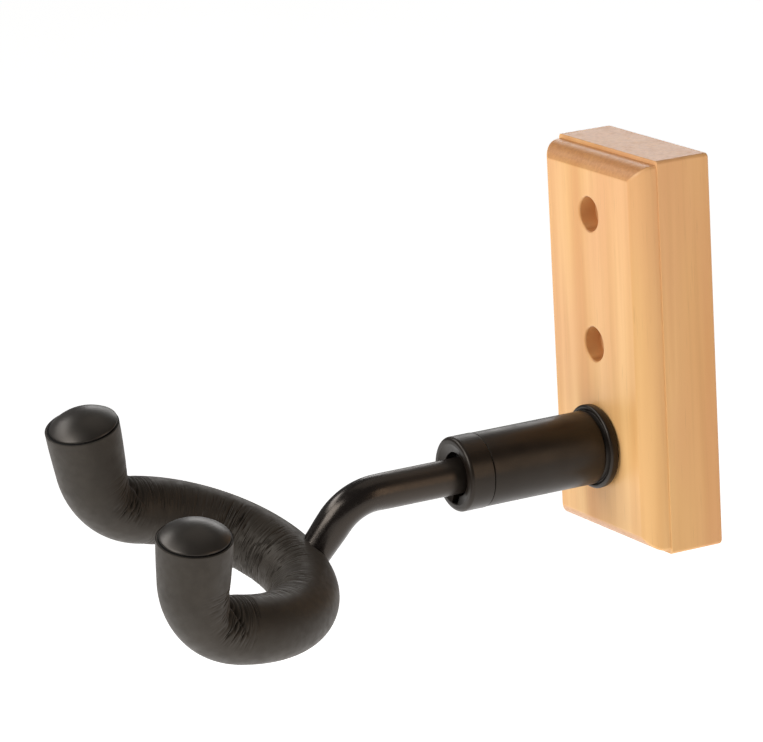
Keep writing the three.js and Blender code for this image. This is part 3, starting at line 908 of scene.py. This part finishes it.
def make_tip_cap(side_name):
    """A domed cap with a stem, set a little aslant on the foam's tip."""
    line, direction = prong_line(side_name)
    turn = Vector((0, -1, 0)).rotation_difference(direction).to_matrix().to_4x4()
    tilt = Matrix.Rotation(PRONGS[side_name]["cap_tilt"], 4, "X")
    tip = line[-1] + Vector((0, PRONGS[side_name]["cap_slip"], 0))
    place = TO_SWIVEL @ Matrix.Translation(tip) @ turn @ tilt
    rise = 0.12 * MM
    dome_start = rise + 0.62 * MM
    dome_r = (TIP_CAP_R ** 2 + TIP_CAP_DOME ** 2) / (2 * TIP_CAP_DOME)
    edge = math.asin(TIP_CAP_R / dome_r)
    profile = [
        (0, -TIP_STEM_LENGTH), (TIP_STEM_R, -TIP_STEM_LENGTH), (TIP_STEM_R, rise),
        (TIP_CAP_R - 0.5 * MM, rise), (TIP_CAP_R - 0.12 * MM, rise + 0.12 * MM),
        (TIP_CAP_R, rise + 0.4 * MM), (TIP_CAP_R - 0.06 * MM, dome_start),
    ]
    for i in range(1, 33):
        angle = edge * (1 - i / 32)
        fall = dome_r * (1 - math.cos(angle))
        profile.append((dome_r * math.sin(angle), dome_start + TIP_CAP_DOME - fall))
    cap = turned(f"cap_{side_name}", profile, CAP, 128, place, 60)
    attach(cap, "swivel_body")
    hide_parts(f"tip_cap_{side_name}")


# ------------------------------------------------------------- carried-over nodes


def dress(node, material):
    """Gives a node that is carried over from the CAD its material."""
    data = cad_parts[node].data
    data.materials.clear()
    data.materials.append(material)


def dress_inner_nodes():
    for node in ("sleeve_plug", "arm_collar"):
        dress(node, ZINC)
    for node in ("disc_spring", "retaining_ring", "collar_pin", "stop_pin"):
        dress(node, SPRING)
    for node in ("rear_bushing", "front_bushing", "friction_washer"):
        dress(node, NYLON)
    for node in ("yoke_rod", "weld_fillet"):
        dress(node, ROD)


# ------------------------------------------------------------------------- stage


def back_vector(azimuth, elevation):
    """The direction from the hanger to a camera or a light."""
    return Vector((
        math.sin(azimuth) * math.cos(elevation),
        -math.cos(azimuth) * math.cos(elevation),
        math.sin(elevation),
    ))


def make_camera():
    back = back_vector(CAMERA_AZIMUTH, CAMERA_ELEVATION)
    right = (-back).cross(Vector((0, 0, 1))).normalized()
    up = right.cross(-back)
    turned_right = right * math.cos(CAMERA_ROLL) + up * math.sin(CAMERA_ROLL)
    turned_up = up * math.cos(CAMERA_ROLL) - right * math.sin(CAMERA_ROLL)
    data = bpy.data.cameras.new("camera")
    data.lens = CAMERA_LENS_MM
    data.sensor_width = 36
    data.clip_start = 0.05
    camera = bpy.data.objects.new("camera", data)
    turn = Matrix((turned_right, turned_up, back)).transposed().to_4x4()
    camera.matrix_world = Matrix.Translation(CAMERA_AIM + back * CAMERA_DISTANCE) @ turn
    bpy.context.scene.collection.objects.link(camera)
    bpy.context.scene.camera = camera


def make_floor():
    paper = Material("backdrop_paper", 0.9, Specular_IOR_Level=0.1)
    tone = paper.ramp(paper.noise(3, 2), [
        (0.4, rgb(0.93, 0.93, 0.93)),
        (0.6, rgb(0.95, 0.95, 0.95)),
    ])
    paper.link(tone, "Base Color")
    paper.shader.inputs["Emission Color"].default_value = rgb(1, 1, 1)
    paper.shader.inputs["Emission Strength"].default_value = 0.83
    half, height = 8.0, -0.55
    corners = [
        Vector((-half, -half, height)), Vector((half, -half, height)),
        Vector((half, half, height)), Vector((-half, half, height)),
    ]
    floor = mesh_piece("floor", corners, [(0, 1, 2, 3)], paper.data)


def area_light(name, azimuth, elevation, distance, size, power, painted_sheen_and_shade_tint=(1, 1, 1)):
    data = bpy.data.lights.new(name, "AREA")
    data.shape = "RECTANGLE"
    data.size, data.size_y = size
    data.energy = power
    data.color = painted_sheen_and_shade_tint
    light = bpy.data.objects.new(name, data)
    back = back_vector(math.radians(azimuth), math.radians(elevation))
    turn = back.to_track_quat("Z", "Y").to_matrix().to_4x4()
    light.matrix_world = Matrix.Translation(CAMERA_AIM + back * distance) @ turn
    bpy.context.scene.collection.objects.link(light)


def make_lights():
    world = bpy.data.worlds.new("studio")
    world.use_nodes = True
    sky = world.node_tree.nodes["Background"].inputs
    sky["Color"].default_value = rgb(1.0, 0.99, 0.97)
    sky["Strength"].default_value = 0.16
    bpy.context.scene.world = world
    area_light("key_softbox", 3, 30, 1.5, (0.9, 0.9), 15)
    area_light("left_softbox", -48, 40, 1.4, (1.0, 0.35), 6.5)
    area_light("back_panel", 232, 22, 1.5, (0.9, 0.5), 4)
    area_light("top_panel", 200, 76, 1.5, (1.2, 1.2), 2.1, (1.0, 0.93, 0.86))
    area_light("warm_fill", 116, 12, 1.6, (0.5, 1.0), 4.2, (1.0, 0.76, 0.56))


make_camera()
make_floor()
make_lights()
make_block()
make_flange()
make_sleeve()
make_end_cap()
make_tie_bolt()
make_washer()
make_arm()
for name in PRONGS:
    make_foam_tube(name)
    make_tip_cap(name)
dress_inner_nodes()
bpy.context.scene.view_settings.view_transform = "Standard"
